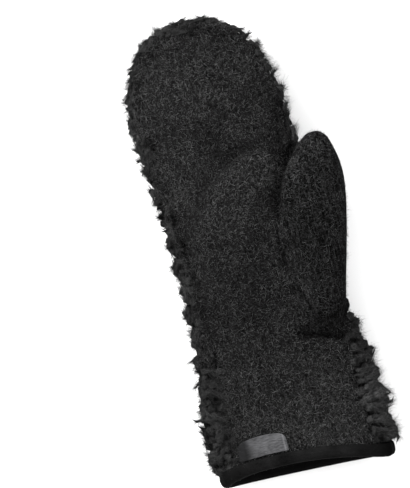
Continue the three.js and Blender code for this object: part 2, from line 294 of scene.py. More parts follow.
def soft_skin(name, nodes, voxel, rounds, material, extras=()):
    """One smooth skin round some of the frame's nodes and some closed meshes."""
    points, faces = frame_mesh(*nodes)
    for more_points, more_faces in extras:
        start = len(points)
        points.extend(more_points)
        faces.extend(tuple(start + i for i in face) for face in more_faces)
    obj = add_object(name, points, faces, material)
    remesh = obj.modifiers.new("remesh", "REMESH")
    remesh.mode = "VOXEL"
    remesh.voxel_size = voxel * MM
    add_smoothing(obj, rounds)
    apply_modifiers(obj)
    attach(obj, "root")
    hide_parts(*nodes)
    return obj


def node_tree(name):
    """A new material, its node tree and its shader."""
    material = bpy.data.materials.new(name)
    material.use_nodes = True
    tree = material.node_tree
    return material, tree, tree.nodes["Principled BSDF"]


def object_place(tree):
    return tree.nodes.new("ShaderNodeTexCoord").outputs["Object"]


def split_place(tree, place):
    """The three coordinates of a place, by axis."""
    node = tree.nodes.new("ShaderNodeSeparateXYZ")
    tree.links.new(place, node.inputs["Vector"])
    return node.outputs


def noise_node(tree, vector, scale, detail, roughness, stretch=(1, 1, 1), turn=0.0):
    """A noise texture, stretched and turned in the given coordinates. Returns its value from 0 to 1."""
    mapping = tree.nodes.new("ShaderNodeMapping")
    mapping.inputs["Scale"].default_value = stretch
    mapping.inputs["Rotation"].default_value = (0, 0, turn)
    tree.links.new(vector, mapping.inputs["Vector"])
    texture = tree.nodes.new("ShaderNodeTexNoise")
    texture.inputs["Scale"].default_value = scale
    texture.inputs["Detail"].default_value = detail
    texture.inputs["Roughness"].default_value = roughness
    tree.links.new(mapping.outputs["Vector"], texture.inputs["Vector"])
    return texture.outputs["Fac"]


def attribute_node(tree, name):
    node = tree.nodes.new("ShaderNodeAttribute")
    node.attribute_name = name
    return node.outputs["Fac"]


def remap(tree, value, low, high, to_low=0.0, to_high=1.0):
    node = tree.nodes.new("ShaderNodeMapRange")
    node.inputs["From Min"].default_value = low
    node.inputs["From Max"].default_value = high
    node.inputs["To Min"].default_value = to_low
    node.inputs["To Max"].default_value = to_high
    tree.links.new(value, node.inputs["Value"])
    return node.outputs["Result"]


def span(tree, noise, to_low, to_high):
    """A noise stretched over two other values."""
    return remap(tree, noise, *NOISE_SPAN, to_low, to_high)


def combine(tree, operation, first, second):
    node = tree.nodes.new("ShaderNodeMath")
    node.operation = operation
    for socket, value in zip(node.inputs, (first, second)):
        if isinstance(value, (int, float)):
            socket.default_value = value
        else:
            tree.links.new(value, socket)
    return node.outputs["Value"]


def product(tree, first, *others):
    for other in others:
        first = combine(tree, "MULTIPLY", first, other)
    return first


def distance_from(tree, value, middle):
    return combine(tree, "ABSOLUTE", combine(tree, "SUBTRACT", value, middle), 0.0)


def set_colour(tree, shader, factor, dark, light):
    """Colours a surface between a dark and a light colour, by a value."""
    node = tree.nodes.new("ShaderNodeMix")
    node.data_type = "RGBA"
    node.inputs["A"].default_value = (*dark, 1)
    node.inputs["B"].default_value = (*light, 1)
    tree.links.new(factor, node.inputs["Factor"])
    tree.links.new(node.outputs["Result"], shader.inputs["Base Color"])


def add_bump(tree, shader, height, distance):
    """Relief from a value, distance mm deep."""
    node = tree.nodes.new("ShaderNodeBump")
    node.inputs["Strength"].default_value = 1.0
    node.inputs["Distance"].default_value = distance * MM
    tree.links.new(height, node.inputs["Height"])
    tree.links.new(node.outputs["Normal"], shader.inputs["Normal"])


def set_cloth(shader, roughness, specular):
    shader.inputs["Roughness"].default_value = roughness
    shader.inputs["Specular IOR Level"].default_value = specular


def hair_lines(tree, place, scale, stretch, turn):
    """Thin curved light lines, like loose hairs on the felt."""
    noise = noise_node(tree, place, scale, 2.0, 0.7, stretch, turn)
    return remap(tree, distance_from(tree, noise, 0.5), 0.0, 0.04, 1.0, 0.0)


def felt_material():
    """Felted fine knit: dark wool with lighter fibres lying every way and faint wales along the mitten."""
    material, tree, shader = node_tree("felted_knit")
    place = object_place(tree)
    speckle = noise_node(tree, place, 1100, 2.0, 0.9)
    pits = noise_node(tree, place, 480, 2.0, 0.6)
    wales = noise_node(tree, place, 190, 2.0, 0.5, (4.2, 0.4, 2.0))
    blotch = noise_node(tree, place, 60, 4.0, 0.65)
    steep_hairs = hair_lines(tree, place, 330, (1, 1.6, 1), 0.7)
    flat_hairs = hair_lines(tree, place, 300, (1.7, 1, 1), 0.3)
    hairs = product(tree, combine(tree, "MAXIMUM", steep_hairs, flat_hairs), 0.38)
    grain = combine(tree, "ADD", remap(tree, speckle, 0.49, 0.66, 0.0, 0.9), hairs)
    clearer_on_thumb = remap(tree, attribute_node(tree, "thumb"), 0, 1, 0.3, 1.0)
    ribs = product(tree, span(tree, wales, -0.34, 0.34), clearer_on_thumb)
    grain = combine(tree, "ADD", grain, ribs)
    darker_pits = remap(tree, pits, 0.34, 0.58, 0.42, 1.0)
    patches = remap(tree, blotch, 0.32, 0.68, 0.6, 1.3)
    grain = product(tree, grain, darker_pits, patches)
    grain = combine(tree, "POWER", combine(tree, "MAXIMUM", grain, 0.0), 1.35)
    # The tone attribute carries the painted light and shade written on the felt.
    grain = product(tree, grain, attribute_node(tree, "tone"))
    set_colour(tree, shader, grain, *FELT_COLOURS)
    height = combine(tree, "ADD", product(tree, grain, 0.8), product(tree, wales, 0.5))
    add_bump(tree, shader, height, 1.3)
    set_cloth(shader, 0.95, 0.01)
    return material


def pile_material(name, dark, light):
    """Curly wool: fibres run along each lock, by the locks' own lengthwise and crosswise coordinates."""
    material, tree, shader = node_tree(name)
    uv = tree.nodes.new("ShaderNodeUVMap").outputs["UV"]
    place = object_place(tree)
    fibres = remap(tree, noise_node(tree, uv, 9, 3.0, 0.7, (0.5, 3.4, 1)), 0.32, 0.7, 0.0, 0.3)
    speckle = remap(tree, noise_node(tree, place, 800, 2.0, 0.75), 0.35, 0.68, 0.0, 0.23)
    blotch = span(tree, noise_node(tree, place, 90, 2.0, 0.6), 0.7, 1.2)
    grain = combine(tree, "ADD", fibres, speckle)
    # The tone attribute carries each strand's own tone together with painted light and shade.
    grain = product(tree, grain, blotch, attribute_node(tree, "tone"))
    set_colour(tree, shader, grain, dark, light)
    add_bump(tree, shader, grain, 2.2)
    set_cloth(shader, 1.0, 0.01)
    return material


def backing_material():
    """The knitted backing between the locks and inside the mitten."""
    material, tree, shader = node_tree("pile_backing")
    place = object_place(tree)
    speckle = noise_node(tree, place, 900, 3.0, 0.7)
    lumps = noise_node(tree, place, 220, 2.0, 0.6)
    grain = combine(tree, "ADD", span(tree, speckle, 0.0, 0.6), span(tree, lumps, 0.0, 0.4))
    set_colour(tree, shader, grain, *BACKING_COLOURS)
    add_bump(tree, shader, grain, 1.2)
    set_cloth(shader, 1.0, 0.01)
    return material


def tape_material():
    """Smooth black tape with a fine weave, with painted shade downward and towards its ends."""
    material, tree, shader = node_tree("binding_tape")
    place = object_place(tree)
    weave = noise_node(tree, place, 1300, 1.0, 0.4, (1, 2.2, 1))
    wear = noise_node(tree, place, 90, 3.0, 0.6)
    tone = combine(tree, "ADD", span(tree, weave, 0.0, 0.5), span(tree, wear, 0.0, 0.5))
    axes = split_place(tree, place)
    # Painted shade: the tape darker downward and towards both ends.
    for axis, start, end, first, last in TAPE_PAINTED_SHADE:
        tone = product(tree, tone, remap(tree, axes[axis], start * MM, end * MM, first, last))
    set_colour(tree, shader, tone, *TAPE_COLOURS)
    add_bump(tree, shader, weave, 0.12)
    set_cloth(shader, 0.75, 0.008)
    return material


def thread_material():
    """Twisted sewing thread."""
    material, tree, shader = node_tree("stitch_thread")
    twist = noise_node(tree, object_place(tree), 2500, 1.0, 0.5)
    set_colour(tree, shader, twist, *THREAD_COLOURS)
    add_bump(tree, shader, twist, 0.1)
    set_cloth(shader, 0.6, 0.3)
    return material


def satin_material():
    """Bare grey satin ribbon, with painted shade towards its left end and a painted highlight along a fold
    near its right end.
    """
    material, tree, shader = node_tree("label_satin")
    place = object_place(tree)
    threads = noise_node(tree, place, 900, 2.0, 0.5, (0.4, 5, 1))
    wear = noise_node(tree, place, 120, 2.0, 0.5)
    tone = combine(tree, "ADD", span(tree, threads, 0.0, 0.6), span(tree, wear, 0.0, 0.4))
    x = split_place(tree, place)["X"]
    lo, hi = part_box("label")
    width = hi[0] - lo[0]
    # Painted shade, darker towards the label's left end.
    for start, full, least in LABEL_PAINTED_SHADE:
        tone = product(tree, tone, remap(tree, x, lo[0] + start * width, lo[0] + full * width, least, 1.0))
    # Painted highlight along a thin fold near the right end.
    from_fold_highlight = distance_from(tree, x, lo[0] + LABEL_FOLD_HIGHLIGHT * width)
    tone = combine(tree, "ADD", tone, remap(tree, from_fold_highlight, 0.2 * MM, 0.8 * MM, 0.35, 0.0))
    set_colour(tree, shader, tone, *SATIN_COLOURS)
    add_bump(tree, shader, threads, 0.06)
    set_cloth(shader, 0.5, 0.05)
    return material


def floor_material():
    material, _, shader = node_tree("floor")
    shader.inputs["Base Color"].default_value = (*FLOOR_COLOUR, 1)
    shader.inputs["Roughness"].default_value = 0.9
    return material


def triangles_with_area(points, faces):
    """Corner arrays, areas and unit normals of triangles."""
    corners = np.array([[points[i] for i in face] for face in faces])
    cross = np.cross(corners[:, 1] - corners[:, 0], corners[:, 2] - corners[:, 0])
    length = np.linalg.norm(cross, axis=1)
    return corners, length / 2, cross / np.maximum(length, 1e-12)[:, None]


def smoothstep(value, start, end):
    t = np.clip((value - start) / (end - start), 0, 1)
    return t * t * (3 - 2 * t)


def window(value, start, full, fade, end):
    """Rises from 0 to 1 between the first two places and falls to 0 again between the last two."""
    return smoothstep(value, start, full) * (1 - smoothstep(value, fade, end))


def bell(value, middle, reach):
    """1 at the middle, less with the distance from it."""
    return np.exp(-(((value - middle) / reach) ** 2))


def plan_places(x, y):
    """Places in the plan, in mm from the cuff's middle."""
    return x / MM - CUFF_MIDDLE[0], y / MM - CUFF_MIDDLE[1]


def is_outside(everything, p, n):
    """Whether a place faces away from the mitten's middle and has nothing but lumps of the pile over it."""
    if p.x * n.x + (p.z - MIDDLE_HEIGHT * MM) * n.z < 0:
        return False
    hit = everything.ray_cast(p + n * PROBE * MM, n)
    return hit[0] is None or LUMP_DISTANCE[0] * MM < hit[3] < LUMP_DISTANCE[1] * MM


def outer_samples(rng, count, everything, plan):
    """Random places on the pile's outer side, but not under the felt's rim or at the tape."""
    xs, ys, distance = plan
    tape = BVHTree.FromPolygons(*frame_mesh("cuff_binding"))
    points, faces = frame_mesh("back_panel")
    corners, area, normals = triangles_with_area(points, faces)
    picked = rng.choice(len(faces), size=count, p=area / area.sum())
    weights = rng.dirichlet((1, 1, 1), size=count)
    places = []
    for tri, w in zip(picked, weights):
        p = Vector((corners[tri] * w[:, None]).sum(axis=0))
        n = Vector(normals[tri])
        i, j = int((p.x - xs[0]) / (GRID * MM)), int((p.y - ys[0]) / (GRID * MM))
        covered = n.z > 0 and distance[i, j] > felt_inset(plan_places(p.x, p.y)[1]) + RIM_MARGIN
        under_thumb = quiet_share(p) > QUIET["bare_share"] and p.z > QUIET["bare_height"] * MM
        from_tape = tape.find_nearest(p)[3] / MM
        at_tape = from_tape < TAPE_MARGIN or (n.z < -0.6 and from_tape < TAPE_MARGIN_BELOW)
        if not at_tape and not covered and not under_thumb and is_outside(everything, p, n):
            places.append((p, n))
    return places


def spread(places, spacing):
    """The places that keep at least a spacing from the ones kept before."""
    tree = KDTree(len(places))
    for i, (p, _) in enumerate(places):
        tree.insert(p, i)
    tree.balance()
    dropped = set()
    kept = []
    for i, (p, n) in enumerate(places):
        if i in dropped:
            continue
        kept.append((p, n))
        dropped.update(j for _, j, _ in tree.find_range(p, spacing))
    return kept


def quiet_share(place):
    """How far a place lies beside the thumb, from 0 to 1."""
    x, y = plan_places(place.x, place.y)
    return float(window(y, *QUIET_Y) * smoothstep(x, *QUIET_X))


def lock_direction(rng, place, normal, along):
    """Direction of a lock: mostly across the mitten, in waves, and wilder on the flanks and the tips."""
    crosswise = Vector((0, 1, 0)).cross(normal)
    if crosswise.length < 0.2:
        crosswise = Vector((1, 0, 0)).cross(normal)
    crosswise.normalize()
    wave = 0.3 * math.sin(place.y * 75 + place.x * 38) + 0.25 * math.sin(place.x * 95 - place.y * 20)
    wildness = LOCK_TURN["everywhere"] + LOCK_TURN["flank"] * (1 - abs(normal.z))
    wildness += LOCK_TURN["tips"] * max(0.0, along - LOCK_TURN["tips_from"])
    angle = wave + rng.normal(0, wildness)
    return crosswise * math.cos(angle) + normal.cross(crosswise) * math.sin(angle)


def lock_rings(rng, place, normal, surface):
    """Rings of one lock: a fat curl that follows the surface, with its ends tucked in and a slight twist."""
    low, high = cad_box[0][1], cad_box[1][1]
    along = (place.y - low) / (high - low)
    quiet = quiet_share(place)
    flank = 1 - abs(normal.z)
    tangent = lock_direction(rng, place, normal, along)
    side = normal.cross(tangent)
    length = rng.uniform(*LOCK_LENGTH) * (1.1 - 0.4 * along) * MM
    width = rng.uniform(*LOCK_WIDTH) * (1.05 - 0.25 * along) * (1 - QUIET["narrower"] * quiet) * MM
    bend = rng.normal(0, LOCK_BEND)
    lift = (rng.uniform(*LOCK_LIFT) - QUIET["lower"] * quiet) * MM
    tip = rng.uniform(*LOCK_TIP) * (1 - quiet) * MM
    if rng.random() < WISP["chance"] * flank * (1 - quiet):
        tip += rng.uniform(*WISP["length"]) * (1 - 0.5 * along) * MM
        width *= WISP["width"]
    plies = rng.choice(LOCK_PLIES)
    twist = rng.uniform(*LOCK_TWIST) * rng.choice((-1, 1))
    phase = rng.uniform(0, 6.28)
    rings = np.empty((LOCK_RINGS, LOCK_SIDES, 3))
    for k in range(LOCK_RINGS):
        s = 2 * k / (LOCK_RINGS - 1) - 1
        centre = place + tangent * (s * length / 2) + side * (bend * length * (s * s - 0.4))
        near, near_normal, _, _ = surface.find_nearest(centre)
        raised = lift * (1 - s * s) + tip * max(0.0, s) ** 2
        centre = near + near_normal * (raised - width * LOCK_DEPTH)
        girth = width * max(0.0, 1 - abs(s) ** 2.0) ** (0.5 if s < 0 else 1.1)
        girth *= 1 + GIRTH_WAVE * math.sin(s * 6 + phase)
        for j in range(LOCK_SIDES):
            theta = 2 * math.pi * j / LOCK_SIDES
            ply = 1 + PLY_DEPTH * math.cos(plies * (theta + twist * s / 2) + phase)
            out = side * math.cos(theta) + near_normal * LOCK_FLATNESS * math.sin(theta)
            rings[k, j] = centre + out * girth * ply
    return rings


def lock_tones(seeds):
    """Each lock's own tone, by its seed."""
    return 0.5 + 0.9 * (seeds % 1)


def painted_spot_tones(points, spots):
    """Painted light and shade: tone at places that some soft-edged spots make lighter or darker."""
    x, y = plan_places(points[:, 0], points[:, 1])
    tone = np.ones(len(points))
    for (middle_x, middle_y), (reach_x, reach_y), change in spots:
        tone += change * bell(x, middle_x, reach_x) * bell(y, middle_y, reach_y)
    return tone


def set_attribute(obj, name, values):
    layer = obj.data.attributes.new(name, "FLOAT", "POINT")
    layer.data.foreach_set("value", np.asarray(values, dtype=float))


def add_strands(name, points, faces, uvs, tones, material):
    """Many thin strands as one piece, with coordinates along and across each, kept above the floor."""
    points[:, 2] = np.maximum(points[:, 2], FLOOR_CLEARANCE * MM)
    obj = add_object(name, points.tolist(), faces.tolist(), material)
    layer = obj.data.uv_layers.new(name="UVMap")
    layer.data.foreach_set("uv", uvs.ravel())
    set_attribute(obj, "tone", tones)
    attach(obj, "root")


def add_locks(name, rings, seeds, material):
    """Locks as tubes, each with its own tone, lighter on its outer side and darker on its inner side as
    painted light and shade.
    """
    count, steps, sides, _ = rings.shape
    points = rings.reshape(-1, 3).copy()
    tube, k, j = np.meshgrid(np.arange(count), np.arange(steps - 1), np.arange(sides), indexing="ij")
    start = tube * steps * sides
    a = start + k * sides + j
    b = start + k * sides + (j + 1) % sides
    faces = np.stack((a, b, b + sides, a + sides), axis=-1).reshape(-1, 4)
    u0 = seeds[tube] + k / (steps - 1)
    u1 = u0 + 1 / (steps - 1)
    v0 = j / sides
    v1 = (j + 1) / sides
    uvs = np.stack((u0, v0, u0, v1, u1, v1, u1, v0), axis=-1)
    # Painted light on each lock's outer side and painted shade on its inner side.
    outer_side_light = 1 + LOCK_PAINTED_LIGHT * np.sin(2 * np.pi * np.arange(sides) / sides)
    own = (lock_tones(seeds)[:, None] * np.tile(outer_side_light, steps)[None, :]).ravel()
    add_strands(name, points, faces, uvs, own * painted_spot_tones(points, PILE_PAINTED_SPOTS), material)


def add_fibres(rng, name, roots, normals, headings, tones, look, material):
    """Loose fibres: thin curved ribbons that start on a surface and bend at random."""
    count = len(roots)
    step = rng.uniform(*look["length"], size=(count, 1)) * MM / FIBRE_SEGMENTS
    curl = rng.normal(0, FIBRE_CURL, size=(count, 3)) / FIBRE_SEGMENTS
    p = roots.copy()
    heading = headings / np.linalg.norm(headings, axis=1, keepdims=True)
    rows = []
    for k in range(FIBRE_SEGMENTS + 1):
        across = np.cross(heading, normals)
        across /= np.maximum(np.linalg.norm(across, axis=1, keepdims=True), 1e-9)
        half = look["width"] * MM * (1 - FIBRE_TAPER * k / FIBRE_SEGMENTS) / 2
        rows.append(np.stack((p - across * half, p + across * half), axis=1))
        p = p + heading * step
        heading = heading + curl
        heading /= np.linalg.norm(heading, axis=1, keepdims=True)
    points = np.stack(rows, axis=1).reshape(-1, 3)
    fibre, k = np.meshgrid(np.arange(count), np.arange(FIBRE_SEGMENTS), indexing="ij")
    a = fibre * 2 * (FIBRE_SEGMENTS + 1) + 2 * k
    faces = np.stack((a, a + 1, a + 3, a + 2), axis=-1).reshape(-1, 4)
    u0 = rng.uniform(0, 50, size=(count, 1)) + 0 * k
    u1 = u0 + 0.3
    v0 = 0 * u0
    v1 = v0 + 0.1
    uvs = np.stack((u0, v0, u0, v1, u1, v1, u1, v0), axis=-1)
    add_strands(name, points, faces, uvs, np.repeat(tones, 2 * (FIBRE_SEGMENTS + 1)), material)


def add_lock_fibres(rng, name, rings, seeds, material):
    """Fibres that run along the locks, most of them near their tips, which they draw out into wisps."""
    count = PILE_FIBRES["count"]
    lock = rng.integers(0, len(rings), count)
    k = 1 + ((LOCK_RINGS - 3) * np.sqrt(rng.random(count))).astype(int)
    j = rng.integers(0, LOCK_SIDES, count)
    t = rng.random((count, 1))
    here, following = rings[lock, k, j], rings[lock, k + 1, j]
    root = here + t * (following - here)
    centre = rings[lock, k].mean(axis=1)
    normal = root - centre
    normal /= np.maximum(np.linalg.norm(normal, axis=1, keepdims=True), 1e-9)
    along = rings[lock, k + 1].mean(axis=1) - centre
    along /= np.maximum(np.linalg.norm(along, axis=1, keepdims=True), 1e-9)
    heading = along + 0.15 * normal + rng.normal(0, PILE_FIBRES["stray"], size=(count, 3))
    tones = rng.uniform(*PILE_FIBRE_TONE, count) * lock_tones(seeds[lock]) * painted_spot_tones(root, PILE_PAINTED_SPOTS)
    add_fibres(rng, name, root, normal, heading, tones, PILE_FIBRES, material)


def mesh_arrays(obj):
    """Vertices, triangles and vertex normals of an object as arrays."""
    mesh = obj.data
    mesh.calc_loop_triangles()
    points = np.empty(len(mesh.vertices) * 3)
    mesh.vertices.foreach_get("co", points)
    normals = np.empty(len(mesh.vertices) * 3)
    mesh.vertices.foreach_get("normal", normals)
    tris = np.empty(len(mesh.loop_triangles) * 3, dtype=int)
    mesh.loop_triangles.foreach_get("vertices", tris)
    return points.reshape(-1, 3), tris.reshape(-1, 3), normals.reshape(-1, 3)


def surface_samples(rng, obj, count, chosen):
    """Random places and normals on those faces of an object whose corners are all chosen."""
    points, tris, _ = mesh_arrays(obj)
    tris = tris[chosen[tris].all(axis=1)]
    corners, area, normals = triangles_with_area(points, tris)
    picked = rng.choice(len(tris), size=count, p=area / area.sum())
    weights = rng.dirichlet((1, 1, 1), size=count)
    return (corners[picked] * weights[:, :, None]).sum(axis=1), normals[picked]


def set_points(obj, points):
    obj.data.vertices.foreach_set("co", points.ravel())
    obj.data.update()


def distance_to_line(x, y, line):
    """Distance of places in the plan from a broken line, with its sign: positive on the line's left."""
    best = np.full(x.shape, 1e9)
    signed = np.zeros(x.shape)
    for (x0, y0), (x1, y1) in zip(line, line[1:]):
        dx, dy = x1 - x0, y1 - y0
        length = math.hypot(dx, dy)
        t = np.clip(((x - x0) * dx + (y - y0) * dy) / length**2, 0, 1)
        away = np.hypot(x - x0 - t * dx, y - y0 - t * dy)
        sign = np.sign(dx * (y - y0) - dy * (x - x0))
        nearer = away < best
        best = np.where(nearer, away, best)
        signed = np.where(nearer, sign * away, signed)
    return signed


def box_blur(field):
    padded = np.pad(field, 1, mode="edge")
    rows, columns = field.shape
    return sum(padded[i:i + rows, j:j + columns] for i in range(3) for j in range(3)) / 9


def plan_grid():
    """Grid lines over the whole part, in metres."""
    margin = GRID_MARGIN * MM
    xs = np.arange(cad_box[0][0] - margin, cad_box[1][0] + margin, GRID * MM)
    ys = np.arange(cad_box[0][1] - margin, cad_box[1][1] + margin, GRID * MM)
    return xs, ys


def top_heights(tree, xs, ys):
    """Height of the highest surface over each grid place, or not a number where there is none."""
    down = Vector((0, 0, -1))
    above_all = 0.2
    top = np.full((len(xs), len(ys)), np.nan)
    for i, x in enumerate(xs):
        for j, y in enumerate(ys):
            hit = tree.ray_cast(Vector((x, y, above_all)), down)
            if hit[0] is not None:
                top[i, j] = hit[0].z
    return top


def height_sheet(xs, ys, top, mask, thickness):
    """A closed sheet that hangs from a grid of heights, over the cells that lie wholly in a mask."""
    node = np.cumsum(mask.ravel()).reshape(mask.shape) - 1
    count = int(mask.sum())
    i, j = np.nonzero(mask)
    upper = np.stack((xs[i], ys[j], top[i, j]), axis=1)
    points = np.concatenate((upper, upper - (0, 0, thickness * MM)))
    cells = mask[:-1, :-1] & mask[1:, :-1] & mask[1:, 1:] & mask[:-1, 1:]
    bordered = np.pad(cells, 1)
    faces = []
    for i, j in np.argwhere(cells):
        ring = [int(n) for n in (node[i, j], node[i + 1, j], node[i + 1, j + 1], node[i, j + 1])]
        faces.append(tuple(ring))
        faces.append(tuple(count + n for n in reversed(ring)))
        neighbours = (bordered[i + 1, j], bordered[i + 2, j + 1], bordered[i + 1, j + 2], bordered[i, j + 1])
        for side, filled in enumerate(neighbours):
            if not filled:
                first, second = ring[side], ring[(side + 1) % 4]
                faces.append((first, count + first, count + second, second))
    return [tuple(p) for p in points], faces


def lobe_sheet(xs, ys):
    """The sheet of felt that fills the hollow between the index finger's root and the palm."""
    top = top_heights(BVHTree.FromPolygons(*frame_mesh("palm_panel", "index_finger", "thumb")), xs, ys)
    x, y = plan_places(xs[:, None] + 0 * ys[None, :], ys[None, :] + 0 * xs[:, None])
    share = window(y, *BLEND_Y) * window(x, *BLEND_X)
    level = np.where(np.isnan(top), 0, top)
    filled = level.copy()
    for _ in range(BLEND["rounds"]):
        filled = np.maximum(filled, level + share * (box_blur(filled) - level))
    mask = (share > BLEND["least"]) & ~np.isnan(top)
    return height_sheet(xs, ys, filled - BLEND["sink"] * MM, mask, BLEND["thickness"])


def edge_distances(xs, ys, top):
    """Distance in mm of each grid place from the outline, 0 outside it."""
    outside = np.argwhere(np.isnan(top))
    tree = KDTree(len(outside))
    for n, (i, j) in enumerate(outside):
        tree.insert((xs[i], ys[j], 0), n)
    tree.balance()
    distance = np.zeros(top.shape)
    for i, j in np.argwhere(~np.isnan(top)):
        distance[i, j] = tree.find((xs[i], ys[j], 0))[2] / MM
    return distance


def felt_inset(y):
    """How far in from the outline the felt ends, at a distance from the cuff in mm."""
    return np.interp(y, *zip(*FELT_INSET))


def rim_sheet(xs, ys, top, distance):
    """The felt's rim, which rolls over the edge of the pile's panel."""
    _, y = plan_places(xs[:, None], ys[None, :] + 0 * xs[:, None])
    level = np.where(np.isnan(top), 0, top)
    smooth = level.copy()
    for _ in range(RIM["rounds"]):
        smooth = np.where(np.isnan(top), level, box_blur(smooth))
    raised = smooth + (RIM["raise"] - RIM["fall"] * smoothstep(distance, *RIM_WIDTH)) * MM
    mask = (distance > felt_inset(y)) & (distance < RIM_WIDTH[1] + RIM["overlap"]) & (y > RIM["start"])
    return height_sheet(xs, ys, raised, mask, RIM["thickness"])


def thumb_share(points):
    """How far each place belongs to the thumb, from 0 to 1."""
    thumb = BVHTree.FromPolygons(*frame_mesh("thumb"))
    others = BVHTree.FromPolygons(*frame_mesh("palm_panel", "index_finger"))
    gap = [others.find_nearest(Vector(p))[3] - thumb.find_nearest(Vector(p))[3] for p in points]
    return smoothstep(np.array(gap) / MM, -1.0, 2.0)


def palm_painted_light(x, y):
    """Painted light and shade on the palm and the index finger: the tone along the mitten, shade past the
    finger's edge, light inside the finger and along its edge on the thumb's side, and shade along the right
    edge and in a hollow.
    """
    tone = np.interp(y, *zip(*FELT_PAINTED_TONE))
    past_lobe = -distance_to_line(x, y, LOBE_EDGE)
    shade = smoothstep(past_lobe, -1, 1) * bell(np.maximum(past_lobe, 4), 4, 8)
    tone = tone * (1 - 0.38 * shade)
    tone = tone * (1 + 0.14 * window(-past_lobe, 0, 3, 22, 40))
    lit_edge = bell(past_lobe, -3, 3.5) * smoothstep(x, 6, 20)
    tone = tone * (1 + 1.25 * lit_edge)
    right_edge_shade = smoothstep(x, 24, 38) * window(y, 188, 198, 250, 275)
    tone = tone * (1 - 0.4 * right_edge_shade)
    # Painted shade in a hollow near the thumb.
    hollow = bell(np.maximum(np.abs(x - 36), 8), 8, 7) * window(y, 180, 195, 205, 225)
    return tone * (1 - 0.15 * hollow)


def thumb_painted_light(x, y):
    """Painted light and shade on the thumb: darker than the palm, lighter at its tip and on its left, darker
    at the right of its root.
    """
    tip = smoothstep(y, 175, 205)
    left = 1 - smoothstep(x, 22, 34)
    root = smoothstep(x, 42, 54) * (1 - smoothstep(y, 112, 138))
    return THUMB_SHADE_TONE * (1 + 0.7 * tip) * (1 + 0.25 * left) * (1 - 0.35 * root)


def felt_painted_light(points):
    """Painted light and shade of the felt at places, and how far each belongs to the thumb."""
    x, y = plan_places(points[:, 0], points[:, 1])
    thumb = thumb_share(points)
    tone = palm_painted_light(x, y) * (1 - thumb) + thumb_painted_light(x, y) * thumb
    # Painted shade along the crease under the thumb, in the wedge between the crease and the fold above it,
    # and along that fold.
    crease = distance_to_line(x, y, THUMB_CREASE)
    fold = distance_to_line(x, y, THUMB_FOLD)
    inside = smoothstep(x, *CREASE_START)
    wedge_shade = smoothstep(crease, 0, 2) * (1 - smoothstep(fold, -1.5, 1.5)) * smoothstep(x, 15, 20)
    tone = tone * (1 - 0.6 * inside * bell(crease, 0.6, 1.3))
    tone = tone * (1 - 0.3 * wedge_shade) * painted_spot_tones(points, FELT_PAINTED_SPOTS)
    return tone * (1 - 0.3 * inside * bell(fold, 0, 1.6)), thumb


def seen_from_outside(points, normals, tree):
    """Which places have nothing over them along their normals."""
    starts = points + normals * 0.5 * MM
    return np.array([tree.ray_cast(Vector(p), Vector(n))[0] is None for p, n in zip(starts, normals)])


def shape_felt(obj):
    """Adds the crease under the thumb, the seam beside it and soft dents, and writes the felt's tones, which
    are painted light and shade, with one dark painted shade on faces near the cuff that are not open above.
    """
    points, tris, normals = mesh_arrays(obj)
    tree = BVHTree.FromPolygons(points.tolist(), tris.tolist())
    up = Vector((0, 0, 1))
    starts = points + normals * 0.4 * MM
    open_above = np.array([tree.ray_cast(Vector(p), up)[0] is None for p in starts])
    on_top = open_above & (normals[:, 2] > -0.1)
    x, y = plan_places(points[:, 0], points[:, 1])
    crease = distance_to_line(x, y, THUMB_CREASE)
    inside = smoothstep(x, *CREASE_START)
    lift = CREASE_ROLL[0] * inside * bell(crease, *CREASE_ROLL[1:])
    lift -= CREASE_CUT[0] * inside * bell(crease, *CREASE_CUT[1:])
    lift -= FOLD_CUT[0] * inside * bell(distance_to_line(x, y, THUMB_FOLD), *FOLD_CUT[1:])
    lift -= SEAM_CUT[0] * bell(distance_to_line(x, y, THUMB_SEAM), *SEAM_CUT[1:])
    lift += DENT_HEIGHT * np.sin(x / 9.5 + 1.2 * np.sin(y / 21)) * np.sin(y / 14 + 0.8 * np.sin(x / 17))
    tones, thumb = felt_painted_light(points)
    points[:, 2] += np.where(on_top, lift, 0) * MM
    set_points(obj, points)
    # Painted shade: near the cuff, faces not open above, such as the inside of the mouth, get one dark tone.
    shown = on_top | (points[:, 1] > cad_box[0][1] + 30 * MM)
    set_attribute(obj, "tone", np.where(shown, tones, INNER_SHADE_TONE))
    set_attribute(obj, "thumb", thumb)
    return seen_from_outside(points, normals, tree)


def sink_backing(obj, everything):
    """Draws the pile's backing in on its outer side, so that the locks stand in it."""
    points, _, normals = mesh_arrays(obj)
    for i, (p, n) in enumerate(zip(points, normals)):
        if is_outside(everything, Vector(p), Vector(n)):
            points[i] = p - n * SINK * MM
    set_points(obj, points)
    add_smoothing(obj, SINK_ROUNDS)
    apply_modifiers(obj)


def binding_edge(tape, x, top):
    """Where the tape's edge lies on the palm, top, or on the back, at x: the hit furthest from the cuff."""
    lo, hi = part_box("cuff_binding")
    direction = Vector((0, 0, -1 if top else 1))
    height = hi[2] + EDGE_SEARCH["height"] * MM if top else lo[2] - EDGE_SEARCH["height"] * MM
    for step in range(EDGE_SEARCH["steps"]):
        y = hi[1] + 1 * MM - step * EDGE_SEARCH["step"] * MM
        hit = tape.ray_cast(Vector((x, y, height)), direction, EDGE_SEARCH["reach"] * MM)
        if hit[0] is not None:
            return hit[0]
    return None


